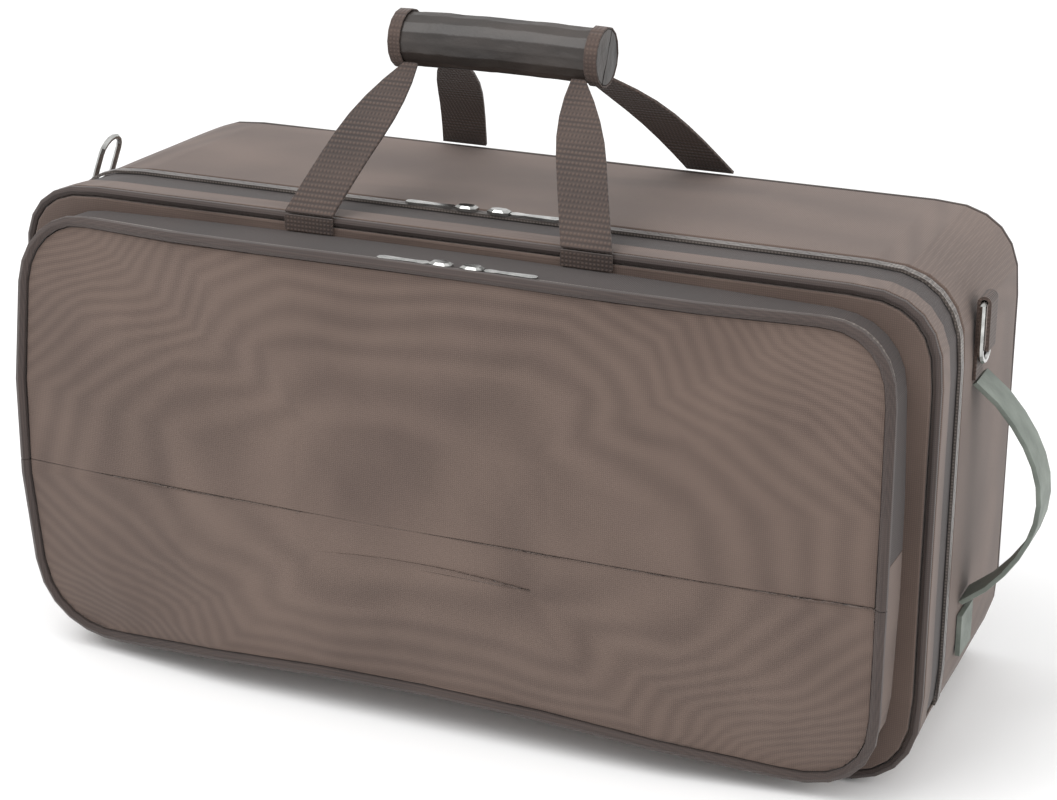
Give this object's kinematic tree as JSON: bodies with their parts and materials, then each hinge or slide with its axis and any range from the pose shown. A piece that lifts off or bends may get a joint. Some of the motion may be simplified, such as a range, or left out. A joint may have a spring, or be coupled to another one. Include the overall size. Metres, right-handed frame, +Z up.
{
  "type": "double trumpet case",
  "caption": "Soft-sided double trumpet case with zipped lid and front pocket, two-part carrying handle, end handle and strap rings.",
  "frame": {"origin": "centre of the length on the floor, at the middle of the rear shell and lid depth", "axes": "+X along the length to the end with the side handle, -Y towards the front pocket, +Z up"},
  "size_m": [0.6268, 0.2465, 0.4031],
  "materials": {
    "brown_fabric": "woven polyester, matt",
    "dark_piping": "covered cord",
    "zip_tape": "woven tape",
    "zip_chain": "moulded coil",
    "plush_lining": "plush",
    "padded_blocks": "plush over foam",
    "webbing": "woven strap",
    "grip_leather": "wrinkled",
    "grip_binding": "woven tape",
    "end_handle_leather": "smooth",
    "gunmetal": "bright"
  },
  "bodies": {
    "case_body": {"rear_shell": "brown_fabric", "rear_piping": "dark_piping", "main_zip_tape_rear": "zip_tape", "hinge_web_body": "brown_fabric", "main_zip_chain_rear": "zip_chain", "body_lining": "plush_lining", "base_pad": "plush_lining", "bay_divider": "padded_blocks", "bell_rest_lower": "padded_blocks", "bell_rest_upper": "padded_blocks", "neck_rest_lower": "padded_blocks", "neck_rest_upper": "padded_blocks", "accessory_box": "padded_blocks", "mouthpiece_block": "padded_blocks", "rear_strap_foot_left": "webbing", "rear_strap_foot_right": "webbing", "end_handle": "end_handle_leather", "end_handle_tab": "end_handle_leather", "ring_chape_left": "webbing", "ring_chape_right": "webbing"},
    "lid": {"lid_shell": "brown_fabric", "lid_piping": "dark_piping", "main_zip_tape_front": "zip_tape", "hinge_web_lid": "brown_fabric", "main_zip_chain_front": "zip_chain", "lid_pad": "plush_lining", "pocket_zip_tape": "zip_tape", "pocket_gusset": "brown_fabric", "pocket_zip_chain_rear": "zip_chain", "pocket_panel_lower": "brown_fabric", "pocket_piping_lower": "dark_piping", "front_strap_foot_left": "webbing", "front_strap_foot_right": "webbing"},
    "pocket_flap": {"pocket_panel_upper": "brown_fabric", "pocket_piping_upper": "dark_piping", "pocket_zip_chain_front": "zip_chain"},
    "front_handle": {"front_strap_left": "webbing", "front_strap_right": "webbing", "grip_front": "grip_leather", "grip_binding_front_left": "grip_binding", "grip_binding_front_right": "grip_binding"},
    "rear_handle": {"rear_strap_left": "webbing", "rear_strap_right": "webbing", "grip_rear": "grip_leather", "grip_binding_rear_left": "grip_binding", "grip_binding_rear_right": "grip_binding"},
    "accessory_cover": {"accessory_lid": "plush_lining"},
    "main_slider_left_body": {"main_slider_left": "gunmetal"},
    "main_pull_left_body": {"main_pull_left": "gunmetal"},
    "pocket_slider_left_body": {"pocket_slider_left": "gunmetal"},
    "pocket_pull_left_body": {"pocket_pull_left": "gunmetal"},
    "ring_left": {"d_ring_left": "gunmetal"},
    "main_slider_right_body": {"main_slider_right": "gunmetal"},
    "main_pull_right_body": {"main_pull_right": "gunmetal"},
    "pocket_slider_right_body": {"pocket_slider_right": "gunmetal"},
    "pocket_pull_right_body": {"pocket_pull_right": "gunmetal"},
    "ring_right": {"d_ring_right": "gunmetal"}
  },
  "joints": [
    {"name": "lid_hinge", "type": "hinge", "parent": "case_body", "child": "lid", "pos_m": [0, -0.03, 0], "axis": [1, 0, 0], "range_deg": [0, 110]},
    {"name": "pocket_fold", "type": "hinge", "parent": "lid", "child": "pocket_flap", "pos_m": [0, -0.1245, 0.13], "axis": [1, 0, 0], "range_deg": [0, 45]},
    {"name": "front_handle_fold", "type": "hinge", "parent": "lid", "child": "front_handle", "pos_m": [0, -0.0813, 0.2986], "axis": [1, 0, 0], "range_deg": [0, 100]},
    {"name": "rear_handle_fold", "type": "hinge", "parent": "case_body", "child": "rear_handle", "pos_m": [0, 0.1213, 0.2933], "axis": [1, 0, 0], "range_deg": [-150, 0]},
    {"name": "accessory_lid_hinge", "type": "hinge", "parent": "case_body", "child": "accessory_cover", "pos_m": [0.252, 0.0468, 0.08], "axis": [0, 0, 1], "range_deg": [0, 85]},
    {"name": "main_slider_left_run", "type": "slide", "parent": "lid", "child": "main_slider_left_body", "axis": [-1, 0, 0], "range_m": [0, 0.16]},
    {"name": "main_pull_left_turn", "type": "hinge", "parent": "main_slider_left_body", "child": "main_pull_left_body", "pos_m": [-0.0193, -0.03, 0.2984], "axis": [0, 1, 0], "range_deg": [0, 90]},
    {"name": "pocket_slider_left_run", "type": "slide", "parent": "lid", "child": "pocket_slider_left_body", "axis": [-1, 0, 0], "range_m": [0, 0.05]},
    {"name": "pocket_pull_left_turn", "type": "hinge", "parent": "pocket_slider_left_body", "child": "pocket_pull_left_body", "pos_m": [0.0022, -0.1107, 0.2896], "axis": [0, 1, 0], "range_deg": [0, 90]},
    {"name": "ring_left_swing", "type": "hinge", "parent": "case_body", "child": "ring_left", "pos_m": [-0.29137, 0.009, 0.27], "axis": [0, 1, 0], "range_deg": [-200, 0]},
    {"name": "main_slider_right_run", "type": "slide", "parent": "lid", "child": "main_slider_right_body", "axis": [1, 0, 0], "range_m": [0, 0.16]},
    {"name": "main_pull_right_turn", "type": "hinge", "parent": "main_slider_right_body", "child": "main_pull_right_body", "pos_m": [0.0163, -0.03, 0.2984], "axis": [0, -1, 0], "range_deg": [0, 90]},
    {"name": "pocket_slider_right_run", "type": "slide", "parent": "lid", "child": "pocket_slider_right_body", "axis": [1, 0, 0], "range_m": [0, 0.07]},
    {"name": "pocket_pull_right_turn", "type": "hinge", "parent": "pocket_slider_right_body", "child": "pocket_pull_right_body", "pos_m": [0.0363, -0.1107, 0.2896], "axis": [0, -1, 0], "range_deg": [0, 90]},
    {"name": "ring_right_swing", "type": "hinge", "parent": "case_body", "child": "ring_right", "pos_m": [0.29137, 0.009, 0.27], "axis": [0, -1, 0], "range_deg": [0, 170]}
  ]
}
